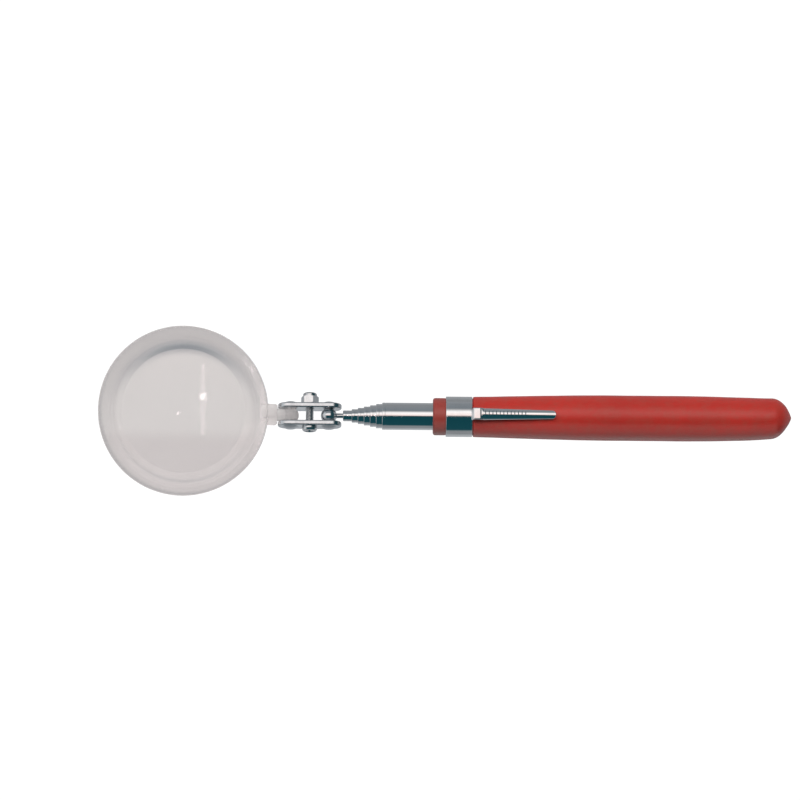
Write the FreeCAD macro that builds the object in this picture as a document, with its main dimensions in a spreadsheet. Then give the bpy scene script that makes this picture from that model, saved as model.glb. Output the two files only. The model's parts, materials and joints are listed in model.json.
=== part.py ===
import FreeCAD, Part
import math
import os
import Sketcher

# Telescoping inspection magnifier: a clear lens on a double ball joint, six telescope
# tubes that nest in a fixed outer tube, and a dipped grip with a pocket clip.
#
# Frame: the origin is the centre of the lens's back rim face. +Z looks out of the front
# of the lens, and +X runs along the telescope from the lens towards the grip.

os.makedirs("parts", exist_ok=True)

# Driving dimensions, in millimetres and degrees.
DIMENSIONS = {
    # Lens, moulded in one with its rim and tab
    "lens_diameter": 60.0,
    "rim_thickness": 5.0,
    "rim_flat_width": 2.8,
    "rim_step_run": 0.9,
    "rim_step_depth": 0.35,
    "rim_slope_run": 4.4,
    "rim_round": 0.5,
    "optic_edge_thickness": 1.6,
    "optic_bulge_back": 1.6,
    "optic_bulge_front": 0.6,
    "tab_width": 7.5,
    "tab_thickness": 3.3,
    "tab_round": 0.9,
    "lens_reach": 38.0,
    "lens_lean": 2.0,
    # Clear ball stud in the lens tab
    "lens_ball_diameter": 5.8,
    "lens_neck_diameter": 3.0,
    "lens_stud_diameter": 2.6,
    "lens_stud_length": 4.4,
    "lens_tab_standoff": 4.8,
    # Ball clamp: two plates, a screw and a lock nut
    "ball_spacing": 13.5,
    "clamp_roll": 14.5,
    "plate_gap": 4.7,
    "plate_thickness": 1.75,
    "plate_length": 22.45,
    "plate_width": 7.0,
    "plate_edge_round": 0.45,
    "pocket_clearance": 0.03,
    "bump_diameter": 6.0,
    "bump_height": 0.95,
    "screw_hole_diameter": 3.2,
    "screw_diameter": 2.9,
    "screw_length": 12.0,
    "screw_head_diameter": 5.4,
    "screw_head_height": 1.9,
    "recess_depth": 1.0,
    "recess_span": 2.8,
    "recess_arm_width": 0.7,
    "nut_across_flats": 5.5,
    "nut_hex_height": 2.7,
    "nut_height": 4.0,
    "nut_collar_diameter": 4.9,
    "nut_turn": 51.0,
    "insert_diameter": 4.1,
    "insert_height": 1.15,
    "nut_lip": 0.3,
    # Steel ball stud in the smallest tube
    "steel_ball_diameter": 5.7,
    "steel_neck_diameter": 1.7,
    "neck_reach": 5.0,
    "steel_stud_length": 9.0,
    # Telescope: the fixed outer tube is tube 0, the sliding tubes are 1 to 6
    "outer_tube_diameter": 9.6,
    "outer_tube_length": 139.4,
    "tube_step": 0.96,
    "tube_wall": 0.3,
    "lip_length": 1.0,
    "lip_round": 0.25,
    "lip_clearance": 0.05,
    "front_step": 2.15,
    "smallest_front_step": 3.1,
    "recess_length": 7.2,
    "recess_drop": 0.35,
    "flange_rise": 0.25,
    "flange_length": 0.5,
    "end_play": 0.5,
    # Friction springs, two bowed half shells on each sliding tube
    "spring_thickness": 0.15,
    "spring_length": 6.0,
    "spring_ramp": 1.0,
    "spring_arc": 150.0,
    "spring_clearance": 0.02,
    # Plug in the back of the outer tube
    "plug_depth": 5.0,
    "plug_flange": 1.0,
    # Dipped grip
    "grip_setback": 17.9,
    "grip_length": 126.75,
    "grip_diameter": 16.1,
    "grip_front_diameter": 14.3,
    "grip_collar_diameter": 13.2,
    "grip_collar_length": 4.55,
    "grip_collar_round": 0.9,
    "grip_groove_diameter": 13.05,
    "grip_taper_end": 44.0,
    "grip_taper_diameter": 15.7,
    "grip_swell_start": 60.0,
    "grip_swell_end": 87.0,
    "grip_shoulder_back": 7.45,
    "grip_shoulder_diameter": 14.6,
    "grip_shoulder_round": 5.5,
    "grip_cone_back": 2.95,
    "grip_cone_diameter": 9.84,
    "grip_nose_back": 0.45,
    "grip_nose_diameter": 2.44,
    "bore_clearance": 0.02,
    # Pocket clip: a split band with a spring arm
    "band_width": 9.3,
    "band_thickness": 0.6,
    "band_seam": 1.2,
    "band_play": 0.35,
    "clip_turn": 7.2,
    "clip_length": 29.45,
    "clip_thickness": 0.6,
    "clip_root_width": 4.4,
    "clip_tip_width": 3.2,
    "clip_root_crown": 10.2,
    "clip_tip_crown": 9.2,
    "clip_arch_radius": 2.5,
    "clip_loop_length": 3.4,
    "clip_loop_rise": 0.15,
}

TUBE_COUNT = 6

doc = FreeCAD.newDocument("inspection_magnifier")


def make_size_sheet():
    """Spreadsheet with one named cell for each driving dimension."""
    sheet = doc.addObject("Spreadsheet::Sheet", "sizes")
    for row, (name, value) in enumerate(DIMENSIONS.items(), start=1):
        sheet.set(f"A{row}", name)
        sheet.set(f"B{row}", str(value))
        sheet.setAlias(f"B{row}", name)
    doc.recompute()
    return sheet


sizes = make_size_sheet()


def number(text):
    """Value of an expression over the sheet, in millimetres or degrees."""
    return float(sizes.evalExpression(text))


# Places along the telescope, as expressions over the sheet. The telescope axis runs
# along +X through both ball centres.
LENS_BALL_X = "sizes.lens_reach * cos(sizes.lens_lean)"
AXIS_Y = "-sizes.lens_reach * sin(sizes.lens_lean)"
AXIS_Z = "sizes.rim_thickness / 2"
STEEL_BALL_X = f"({LENS_BALL_X} + sizes.ball_spacing)"
CLAMP_X = f"({LENS_BALL_X} + sizes.ball_spacing / 2)"
SMALLEST_FRONT_X = f"({STEEL_BALL_X} + sizes.neck_reach)"
OUTER_FRONT_X = f"({SMALLEST_FRONT_X} + sizes.smallest_front_step + 5 * sizes.front_step)"
GRIP_FRONT_X = f"({OUTER_FRONT_X} + sizes.grip_setback)"
PLUG_FRONT_X = f"({OUTER_FRONT_X} + sizes.outer_tube_length - sizes.plug_depth)"


def tube_radius(tube):
    """Outside radius of a telescope tube."""
    return f"((sizes.outer_tube_diameter - {tube} * sizes.tube_step) / 2)"


def tube_front(tube):
    """Front end of a telescope tube when everything is pushed in."""
    if tube == TUBE_COUNT:
        return SMALLEST_FRONT_X
    return f"({OUTER_FRONT_X} - {tube} * sizes.front_step)"


def tube_rear(tube):
    """Rear end of a sliding tube, which stops at the recess of the tube around it."""
    return (
        f"({PLUG_FRONT_X} - sizes.end_play"
        f" - {tube - 1} * (sizes.recess_length + sizes.end_play))"
    )


def tube_length(tube):
    """Length of a telescope tube."""
    if tube == 0:
        return "sizes.outer_tube_length"
    return f"({tube_rear(tube)} - {tube_front(tube)})"


def new_body(name):
    """PartDesign body that carries one sub-part."""
    body = doc.addObject("PartDesign::Body", name)
    body.Label = name
    return body


def new_sketch(body, name, plane, lift="0"):
    """Sketch on one of the body's own origin planes, lifted along the plane's normal."""
    sketch = body.newObject("Sketcher::SketchObject", f"{body.Name}_{name}")
    support = next(item for item in body.Origin.OriginFeatures if item.Role == plane)
    sketch.AttachmentSupport = [(support, "")]
    sketch.MapMode = "FlatFace"
    sketch.setExpression("AttachmentOffset.Base.z", lift)
    return sketch


def bind_coordinate(sketch, geometry, point, kind, text):
    """Hold one coordinate of a sketch point at an expression's value."""
    if text == "0":
        axis = -2 if kind == "DistanceX" else -1
        sketch.addConstraint(Sketcher.Constraint("PointOnObject", geometry, point, axis))
        return
    index = sketch.addConstraint(
        Sketcher.Constraint(kind, -1, 1, geometry, point, number(text))
    )
    name = f"{kind[-1].lower()}{geometry}"
    sketch.renameConstraint(index, name)
    sketch.setExpression(f"Constraints.{name}", text)


def arc_between(start, end, radius):
    """Minor arc from start to end; a positive radius has its centre on the left."""
    chord = end - start
    middle = (start + end) / 2
    rise = math.sqrt(max(radius * radius - (chord.Length / 2) ** 2, 0.0))
    left = FreeCAD.Vector(-chord.y, chord.x, 0).normalize()
    centre = middle + left * math.copysign(rise, radius)
    first, last = (start, end) if radius > 0 else (end, start)
    first_angle = math.atan2(first.y - centre.y, first.x - centre.x)
    last_angle = math.atan2(last.y - centre.y, last.x - centre.x)
    circle = Part.Circle(centre, FreeCAD.Vector(0, 0, 1), abs(radius))
    return Part.ArcOfCircle(circle, first_angle, last_angle)


def draw_outline(sketch, corners):
    """Closed outline, drawn counter-clockwise through (across, up) corner expressions.

    A third expression bends the stretch to the next corner into an arc of that radius:
    positive bulges out of the outline, negative hollows into it.
    """
    places = [FreeCAD.Vector(number(corner[0]), number(corner[1]), 0) for corner in corners]
    start_points = []
    end_points = []
    for index, corner in enumerate(corners):
        start = places[index]
        end = places[(index + 1) % len(corners)]
        radius = number(corner[2]) if len(corner) == 3 else None
        if radius is None:
            sketch.addGeometry(Part.LineSegment(start, end))
        else:
            sketch.addGeometry(arc_between(start, end, radius))
        backwards = radius is not None and radius < 0
        start_points.append(2 if backwards else 1)
        end_points.append(1 if backwards else 2)
    for index, corner in enumerate(corners):
        after = (index + 1) % len(corners)
        sketch.addConstraint(
            Sketcher.Constraint("Coincident", index, end_points[index], after, start_points[after])
        )
        bind_coordinate(sketch, index, start_points[index], "DistanceX", corner[0])
        bind_coordinate(sketch, index, start_points[index], "DistanceY", corner[1])
        if len(corner) == 3:
            bind_radius(sketch, index, corner[2])


def bind_radius(sketch, geometry, text):
    """Hold an arc or circle at an expression's radius."""
    magnitude = f"abs({text})"
    index = sketch.addConstraint(Sketcher.Constraint("Radius", geometry, number(magnitude)))
    sketch.renameConstraint(index, f"radius{geometry}")
    sketch.setExpression(f"Constraints.radius{geometry}", magnitude)


def draw_circle(sketch, radius):
    """Circle about the sketch origin."""
    circle = Part.Circle(FreeCAD.Vector(0, 0, 0), FreeCAD.Vector(0, 0, 1), number(radius))
    geometry = sketch.addGeometry(circle)
    sketch.addConstraint(Sketcher.Constraint("Coincident", geometry, 3, -1, 1))
    bind_radius(sketch, geometry, radius)


def revolve(body, name, axis, corners, kind="PartDesign::Revolution"):
    """Turn an outline in the XZ plane about X (H_Axis) or Z (V_Axis)."""
    sketch = new_sketch(body, f"{name}_outline", "XZ_Plane")
    draw_outline(sketch, corners)
    feature = body.newObject(kind, f"{body.Name}_{name}")
    feature.Profile = sketch
    feature.ReferenceAxis = (sketch, [axis])
    feature.Angle = 360
    return feature


def pad(body, name, plane, corners, thickness, lift="0", symmetric=False):
    """Pad an outline by a thickness along the plane's normal."""
    sketch = new_sketch(body, f"{name}_outline", plane, lift)
    draw_outline(sketch, corners)
    feature = body.newObject("PartDesign::Pad", f"{body.Name}_{name}")
    feature.Profile = sketch
    feature.SideType = "Symmetric" if symmetric else "One side"
    feature.setExpression("Length", thickness)
    return feature


def cut(body, name, sketch, depth, reversed_cut=False):
    """Pocket a sketch to a depth, and make sure that it removes material."""
    doc.recompute()
    before = body.Shape.Volume
    feature = body.newObject("PartDesign::Pocket", f"{body.Name}_{name}")
    feature.Profile = sketch
    feature.Reversed = reversed_cut
    feature.setExpression("Length", depth)
    doc.recompute()
    if not feature.Shape.Volume < before:
        raise RuntimeError(f"{feature.Name} cuts nothing")
    return feature


def place(feature, along, across, height):
    """Bind a feature's position to three expressions."""
    feature.setExpression("Placement.Base.x", along)
    feature.setExpression("Placement.Base.y", across)
    feature.setExpression("Placement.Base.z", height)


def turn(feature, axis, angle):
    """Bind a feature's rotation about one axis to an expression."""
    feature.Placement = FreeCAD.Placement(
        feature.Placement.Base, FreeCAD.Rotation(axis, number(angle))
    )
    feature.setExpression("Placement.Rotation.Angle", angle)


def edges_where(feature, test):
    """Names of the feature's edges that pass a test."""
    doc.recompute()
    names = []
    for index, edge in enumerate(feature.Shape.Edges, start=1):
        if test(edge):
            names.append(f"Edge{index}")
    return names


def round_edges(body, name, base, test, radius):
    """Fillet the edges of a feature that pass a test."""
    feature = body.newObject("PartDesign::Fillet", f"{body.Name}_{name}")
    feature.Base = (base, edges_where(base, test))
    feature.setExpression("Radius", radius)
    return feature


def make_lens():
    """Double-convex lens with a raised rim on both sides and a tab with a blind hole."""
    body = new_body("lens")
    middle = "sizes.rim_thickness / 2"
    outside = "sizes.lens_diameter / 2"
    rim_inside = f"{outside} - sizes.rim_flat_width"
    step_inside = f"{rim_inside} - sizes.rim_step_run"
    optic = f"({step_inside} - sizes.rim_slope_run)"
    low_edge = f"{middle} - sizes.optic_edge_thickness / 2"
    high_edge = f"{middle} + sizes.optic_edge_thickness / 2"
    back = "sizes.optic_bulge_back"
    front = "sizes.optic_bulge_front"
    back_curve = f"({optic} ^ 2 + {back} ^ 2) / (2 * {back})"
    front_curve = f"({optic} ^ 2 + {front} ^ 2) / (2 * {front})"
    revolve(body, "disc", "V_Axis", [
        ("0", f"{low_edge} - {back}", back_curve),
        (optic, low_edge),
        (step_inside, "sizes.rim_step_depth"),
        (rim_inside, "0"),
        (f"{outside} - sizes.rim_round", "0", "sizes.rim_round"),
        (outside, "sizes.rim_round"),
        (outside, "sizes.rim_thickness - sizes.rim_round", "sizes.rim_round"),
        (f"{outside} - sizes.rim_round", "sizes.rim_thickness"),
        (rim_inside, "sizes.rim_thickness"),
        (step_inside, "sizes.rim_thickness - sizes.rim_step_depth"),
        (optic, high_edge, front_curve),
        ("0", f"{high_edge} + {front}"),
    ])
    tab_root = f"{outside} - 1.0"
    tab_end = "sizes.lens_reach - sizes.lens_tab_standoff"
    tab = pad(body, "tab", "XY_Plane", [
        (tab_root, "-sizes.tab_width / 2"),
        (f"{tab_end} - sizes.tab_round", "-sizes.tab_width / 2", "sizes.tab_round"),
        (tab_end, "-sizes.tab_width / 2 + sizes.tab_round"),
        (tab_end, "sizes.tab_width / 2 - sizes.tab_round", "sizes.tab_round"),
        (f"{tab_end} - sizes.tab_round", "sizes.tab_width / 2"),
        (tab_root, "sizes.tab_width / 2"),
    ], "sizes.tab_thickness", lift=middle, symmetric=True)
    doc.recompute()
    hole = body.newObject("PartDesign::SubtractiveCylinder", "lens_stud_hole")
    hole.setExpression("Radius", "sizes.lens_stud_diameter / 2 + 0.03")
    hole.setExpression("Height", "sizes.lens_stud_length + 0.2 + 1.0")
    place(hole, f"{tab_end} - sizes.lens_stud_length - 0.2", "0", middle)
    turn(hole, FreeCAD.Vector(0, 1, 0), "90")
    doc.recompute()
    if not hole.Shape.Volume < tab.Shape.Volume:
        raise RuntimeError("the stud hole cuts nothing")
    turn(body, FreeCAD.Vector(0, 0, 1), "-sizes.lens_lean")
    return body


def make_lens_ball():
    """Clear ball, its neck and the stud that turns in the lens tab, along -X."""
    body = new_body("lens_ball")
    ball = "(sizes.lens_ball_diameter / 2)"
    neck = "sizes.lens_neck_diameter / 2"
    stud = "sizes.lens_stud_diameter / 2"
    shoulder = "sizes.lens_tab_standoff - 0.05"
    neck_start = f"sqrt({ball} ^ 2 - ({neck}) ^ 2)"
    tip = "sizes.lens_tab_standoff + sizes.lens_stud_length"
    revolve(body, "profile", "H_Axis", [
        (f"-({tip})", "0"),
        (ball, "0", ball),
        ("0", ball, ball),
        (f"-{neck_start}", neck),
        (f"-({shoulder})", neck),
        (f"-({shoulder})", stud),
        (f"-({tip} - 0.3)", stud),
        (f"-({tip})", f"{stud} - 0.3"),
    ])
    turn(body, FreeCAD.Vector(0, 0, 1), "-sizes.lens_lean")
    place(body, LENS_BALL_X, AXIS_Y, AXIS_Z)
    return body


def make_clamp_plate(name, flip):
    """Pill-shaped plate with a ball pocket, and a bump behind it, at each end."""
    body = new_body(name)
    end = "sizes.plate_length / 2"
    half_width = "sizes.plate_width / 2"
    blank = pad(body, "blank", "XY_Plane", [
        (f"-({end} - {half_width})", f"-{half_width}"),
        (f"{end} - {half_width}", f"-{half_width}", half_width),
        (end, "0", half_width),
        (f"{end} - {half_width}", half_width),
        (f"-({end} - {half_width})", half_width, half_width),
        (f"-{end}", "0", half_width),
    ], "sizes.plate_thickness")
    blank_top = number("sizes.plate_thickness")

    def on_a_face(edge):
        heights = [vertex.Z for vertex in edge.Vertexes]
        return max(heights) < 0.01 or min(heights) > blank_top - 0.01

    round_edges(body, "rounded", blank, on_a_face, "sizes.plate_edge_round")
    for side, word in ((-1, "left"), (1, "right")):
        add_bump_and_pocket(body, side, word)
    hole = new_sketch(body, "screw_hole_outline", "XY_Plane")
    draw_circle(hole, "sizes.screw_hole_diameter / 2")
    cut(body, "screw_hole", hole, "sizes.plate_thickness", reversed_cut=True)
    turn(body, FreeCAD.Vector(1, 0, 0), f"{flip} - 90 - sizes.clamp_roll")
    stack = "sizes.plate_gap / 2"
    outward = 1 if flip == 0 else -1
    place(
        body,
        CLAMP_X,
        f"{AXIS_Y} + {outward} * {stack} * cos(sizes.clamp_roll)",
        f"{AXIS_Z} - {outward} * {stack} * sin(sizes.clamp_roll)",
    )
    return body


def add_bump_and_pocket(body, side, word):
    """Domed bump outside and ball pocket inside, both in line with the ball."""
    ball = "sizes.lens_ball_diameter" if side < 0 else "sizes.steel_ball_diameter"
    centre_x = f"{side} * sizes.ball_spacing / 2"
    bump_sphere = "((sizes.bump_diameter ^ 2 / 4 + sizes.bump_height ^ 2) / (2 * sizes.bump_height))"
    bump_centre = f"(sizes.plate_thickness + sizes.bump_height - {bump_sphere})"
    bump_root = f"(sizes.plate_thickness - 0.3 - {bump_centre})"
    bump = body.newObject("PartDesign::AdditiveSphere", f"{body.Name}_{word}_bump")
    bump.setExpression("Radius", bump_sphere)
    bump.setExpression("Angle1", f"asin({bump_root} / {bump_sphere})")
    place(bump, centre_x, "0", bump_centre)
    doc.recompute()
    pocket = body.newObject("PartDesign::SubtractiveSphere", f"{body.Name}_{word}_pocket")
    pocket.setExpression("Radius", f"{ball} / 2 + sizes.pocket_clearance")
    place(pocket, centre_x, "0", "-sizes.plate_gap / 2")
    doc.recompute()
    if not pocket.Shape.Volume < bump.Shape.Volume:
        raise RuntimeError(f"{pocket.Name} cuts nothing")


def stand_on_lower_plate(body):
    """Put a clamp piece on the screw axis, with z = 0 on the lower plate's outer face."""
    drop = "(sizes.plate_gap / 2 + sizes.plate_thickness)"
    turn(body, FreeCAD.Vector(1, 0, 0), "-90 - sizes.clamp_roll")
    place(
        body,
        CLAMP_X,
        f"{AXIS_Y} - {drop} * cos(sizes.clamp_roll)",
        f"{AXIS_Z} + {drop} * sin(sizes.clamp_roll)",
    )


def make_clamp_screw():
    """Pan-head machine screw with a cross recess; its head is under the lower plate."""
    body = new_body("clamp_screw")
    head = "sizes.screw_head_diameter / 2"
    shank = "sizes.screw_diameter / 2"
    crown = "sizes.screw_head_diameter / 2 - 1.0"
    revolve(body, "profile", "V_Axis", [
        ("0", "-sizes.screw_head_height"),
        (crown, "-sizes.screw_head_height", "1.6"),
        (head, "-0.7"),
        (head, "0"),
        (shank, "0"),
        (shank, "sizes.screw_length - 0.4"),
        (f"{shank} - 0.4", "sizes.screw_length"),
        ("0", "sizes.screw_length"),
    ])
    recess = new_sketch(body, "recess_outline", "XY_Plane", "-sizes.screw_head_height")
    reach = "sizes.recess_span / 2"
    arm = "sizes.recess_arm_width / 2"
    draw_outline(recess, [
        (arm, f"-({reach})"),
        (arm, f"-({arm})"),
        (reach, f"-({arm})"),
        (reach, arm),
        (arm, arm),
        (arm, reach),
        (f"-({arm})", reach),
        (f"-({arm})", arm),
        (f"-({reach})", arm),
        (f"-({reach})", f"-({arm})"),
        (f"-({arm})", f"-({arm})"),
        (f"-({arm})", f"-({reach})"),
    ])
    cut(body, "recess", recess, "sizes.recess_depth", reversed_cut=True)
    stand_on_lower_plate(body)
    return body


def make_lock_nut():
    """Hexagon nut with a round collar that holds the nylon insert."""
    body = new_body("clamp_lock_nut")
    corner = "sizes.nut_across_flats / sqrt(3)"
    base = "(sizes.plate_gap + 2 * sizes.plate_thickness)"
    corners = []
    for index in range(6):
        angle = f"{60 * index} + sizes.nut_turn"
        corners.append((f"{corner} * cos({angle})", f"{corner} * sin({angle})"))
    pad(body, "hexagon", "XY_Plane", corners, "sizes.nut_hex_height", lift=base)
    doc.recompute()
    collar = "sizes.nut_collar_diameter / 2"
    bore = "sizes.screw_diameter / 2 + 0.02"
    hex_top = f"{base} + sizes.nut_hex_height"
    top = f"{base} + sizes.nut_height"
    revolve(body, "collar", "V_Axis", [
        (bore, f"{hex_top} - 0.5"),
        (collar, f"{hex_top} - 0.5"),
        (collar, f"{top} - 0.6", "0.6"),
        (f"{collar} - 0.6", top),
        (bore, top),
    ])
    doc.recompute()
    flat = "sizes.nut_across_flats / 2"
    for name, edge, inwards in (("under", base, 1), ("over", hex_top, -1)):
        bevel_corners = [
            (flat, edge),
            (f"{flat} + 1", edge),
            (f"{flat} + 1", f"{edge} + {inwards} * tan(30)"),
        ]
        if inwards < 0:
            bevel_corners.reverse()
        revolve(body, f"bevel_{name}", "V_Axis", bevel_corners, kind="PartDesign::Groove")
        doc.recompute()
    seat = "sizes.insert_diameter / 2 + 0.02"
    seat_top = f"{top} - sizes.nut_lip"
    revolve(body, "bore", "V_Axis", [
        ("0", f"{base} - 1"),
        (bore, f"{base} - 1"),
        (bore, f"{seat_top} - sizes.insert_height - 0.02"),
        (seat, f"{seat_top} - sizes.insert_height - 0.02"),
        (seat, seat_top),
        (f"{bore} + 0.2", seat_top),
        (f"{bore} + 0.2", f"{top} + 1"),
        ("0", f"{top} + 1"),
    ], kind="PartDesign::Groove")
    stand_on_lower_plate(body)
    return body


def make_nut_insert():
    """Nylon ring that grips the screw inside the lock nut."""
    body = new_body("lock_nut_insert")
    top = "(sizes.plate_gap + 2 * sizes.plate_thickness + sizes.nut_height - sizes.nut_lip)"
    inside = "sizes.screw_diameter / 2 + 0.01"
    outside = "sizes.insert_diameter / 2"
    revolve(body, "ring", "V_Axis", [
        (inside, f"{top} - sizes.insert_height"),
        (outside, f"{top} - sizes.insert_height"),
        (outside, f"{top} - 0.01"),
        (inside, f"{top} - 0.01"),
    ])
    stand_on_lower_plate(body)
    return body


def make_ball_stud():
    """Steel ball and neck, with a stud that is trapped in the smallest tube."""
    body = new_body("ball_stud")
    ball = "(sizes.steel_ball_diameter / 2)"
    neck = "sizes.steel_neck_diameter / 2"
    stud = f"({tube_radius(TUBE_COUNT)} - sizes.tube_wall - 0.02)"
    shoulder = "sizes.neck_reach + sizes.lip_length + 0.05"
    revolve(body, "profile", "H_Axis", [
        (f"-{ball}", "0"),
        (f"{shoulder} + sizes.steel_stud_length", "0"),
        (f"{shoulder} + sizes.steel_stud_length", f"{stud} - 0.3"),
        (f"{shoulder} + sizes.steel_stud_length - 0.3", stud),
        (f"{shoulder} + 0.4", stud),
        (shoulder, f"{stud} - 0.4"),
        (shoulder, neck),
        (f"sqrt({ball} ^ 2 - ({neck}) ^ 2)", neck, ball),
        ("0", ball, ball),
    ])
    place(body, STEEL_BALL_X, AXIS_Y, AXIS_Z)
    return body


def make_outer_tube():
    """Fixed tube that the grip is fitted on, with a rolled lip at the front."""
    body = new_body("outer_tube")
    outside = tube_radius(0)
    inside = f"({outside} - sizes.tube_wall)"
    lip = f"({tube_radius(1)} + sizes.lip_clearance)"
    length = tube_length(0)
    revolve(body, "wall", "H_Axis", [
        ("0", lip),
        ("sizes.lip_length", lip),
        ("sizes.lip_length + 0.3", inside),
        (length, inside),
        (length, outside),
        ("sizes.lip_round", outside, "sizes.lip_round"),
        ("0", f"{outside} - sizes.lip_round"),
    ])
    place(body, tube_front(0), AXIS_Y, AXIS_Z)
    return body


def make_sliding_tube(tube):
    """Thin tube with a rolled front lip, and a reduced rear end that carries the springs."""
    body = new_body(f"tube_{tube}")
    outside = tube_radius(tube)
    inside = f"({outside} - sizes.tube_wall)"
    if tube == TUBE_COUNT:
        lip = "(sizes.steel_neck_diameter / 2 + 0.02)"
    else:
        lip = f"({tube_radius(tube + 1)} + sizes.lip_clearance)"
    length = tube_length(tube)
    recess = f"{length} - sizes.recess_length"
    recess_outside = f"({outside} - sizes.recess_drop)"
    recess_inside = f"({recess_outside} - sizes.tube_wall)"
    flange = f"{recess_outside} + sizes.flange_rise"
    revolve(body, "wall", "H_Axis", [
        ("0", lip),
        ("sizes.lip_length", lip),
        ("sizes.lip_length + 0.05", inside),
        (f"{recess} - 0.3", inside),
        (recess, recess_inside),
        (length, recess_inside),
        (length, flange),
        (f"{length} - sizes.flange_length", flange),
        (f"{length} - sizes.flange_length", recess_outside),
        (f"{recess} + 0.3", recess_outside),
        (recess, outside),
        ("sizes.lip_round", outside, "sizes.lip_round"),
        ("0", f"{outside} - sizes.lip_round"),
    ])
    place(body, tube_front(tube), AXIS_Y, AXIS_Z)
    return body


def make_friction_springs(tube):
    """Two bowed half shells that sit in a sliding tube's recess and rub in the next bore."""
    body = new_body(f"friction_spring_{tube}")
    body.AllowCompound = True
    seat = f"({tube_radius(tube)} - sizes.recess_drop + sizes.spring_clearance)"
    bore = f"({tube_radius(tube - 1)} - sizes.tube_wall - sizes.spring_clearance)"
    length = "sizes.spring_length"
    ramp = "sizes.spring_ramp"
    sheet = "sizes.spring_thickness"
    half_shell = revolve(body, "half_shell", "H_Axis", [
        ("0", seat),
        (ramp, f"{bore} - {sheet}"),
        (f"{length} - {ramp}", f"{bore} - {sheet}"),
        (length, seat),
        (length, f"{seat} + {sheet}"),
        (f"{length} - {ramp}", bore),
        (ramp, bore),
        ("0", f"{seat} + {sheet}"),
    ])
    half_shell.setExpression("Angle", "sizes.spring_arc")
    half_shell.Midplane = True
    pair = body.newObject("PartDesign::PolarPattern", f"{body.Name}_pair")
    pair.Originals = [half_shell]
    pair.Axis = (half_shell.Profile[0], ["H_Axis"])
    pair.Angle = 360
    pair.Occurrences = 2
    body.Tip = pair
    recess_start = f"{tube_rear(tube)} - sizes.recess_length + 0.35"
    place(body, recess_start, AXIS_Y, AXIS_Z)
    return body


def make_rear_plug():
    """Flanged plug that closes the back of the outer tube."""
    body = new_body("rear_plug")
    stem = f"({tube_radius(0)} - sizes.tube_wall - 0.02)"
    depth = "sizes.plug_depth"
    revolve(body, "profile", "H_Axis", [
        ("0", "0"),
        (f"{depth} + sizes.plug_flange", "0"),
        (f"{depth} + sizes.plug_flange", tube_radius(0)),
        (f"{depth} + 0.02", tube_radius(0)),
        (f"{depth} + 0.02", stem),
        ("0.4", stem),
        ("0", f"{stem} - 0.4"),
    ])
    place(body, PLUG_FRONT_X, AXIS_Y, AXIS_Z)
    return body


def make_grip():
    """Dipped sleeve with a closed, blunt end, a swell for the hand and a groove for the band."""
    body = new_body("grip")
    length = "sizes.grip_length"
    bore = f"({tube_radius(0)} + sizes.bore_clearance)"
    tube_end = f"({PLUG_FRONT_X} + sizes.plug_depth + sizes.plug_flange)"
    bore_length = f"({tube_end} - {GRIP_FRONT_X} + sizes.bore_clearance)"
    widest = "sizes.grip_diameter / 2"
    front = "sizes.grip_front_diameter / 2"
    collar = "sizes.grip_collar_diameter / 2"
    groove = "sizes.grip_groove_diameter / 2"
    groove_start = "sizes.grip_collar_length"
    groove_end = f"({groove_start} + sizes.band_width + sizes.band_play)"
    shoulder_x = f"({length} - sizes.grip_shoulder_back)"
    shoulder = "sizes.grip_shoulder_diameter / 2"
    cone = "sizes.grip_cone_diameter / 2"
    nose = "(sizes.grip_nose_diameter / 2)"
    nose_curve = f"({nose} ^ 2 + sizes.grip_nose_back ^ 2) / (2 * sizes.grip_nose_back)"
    rear_run = f"({shoulder_x} - sizes.grip_swell_end)"
    rear_drop = f"({widest} - {shoulder})"
    rear_curve = f"({rear_run} ^ 2 + {rear_drop} ^ 2) / (2 * {rear_drop})"
    taper = "sizes.grip_taper_diameter / 2"
    front_run = "(sizes.grip_swell_start - sizes.grip_taper_end)"
    front_drop = f"({widest} - {taper})"
    front_curve = f"({front_run} ^ 2 + {front_drop} ^ 2) / (2 * {front_drop})"
    revolve(body, "profile", "H_Axis", [
        ("0", bore),
        (bore_length, bore),
        (bore_length, "0"),
        (length, "0", nose_curve),
        (f"{length} - sizes.grip_nose_back", nose),
        (f"{length} - sizes.grip_cone_back", cone, "sizes.grip_shoulder_round"),
        (shoulder_x, shoulder, rear_curve),
        ("sizes.grip_swell_end", widest),
        ("sizes.grip_swell_start", widest, front_curve),
        ("sizes.grip_taper_end", taper),
        (groove_end, front),
        (groove_end, groove),
        (groove_start, groove),
        (groove_start, collar),
        ("sizes.grip_collar_round", collar, "sizes.grip_collar_round"),
        ("0", f"{collar} - sizes.grip_collar_round"),
    ])
    place(body, GRIP_FRONT_X, AXIS_Y, AXIS_Z)
    return body


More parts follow.
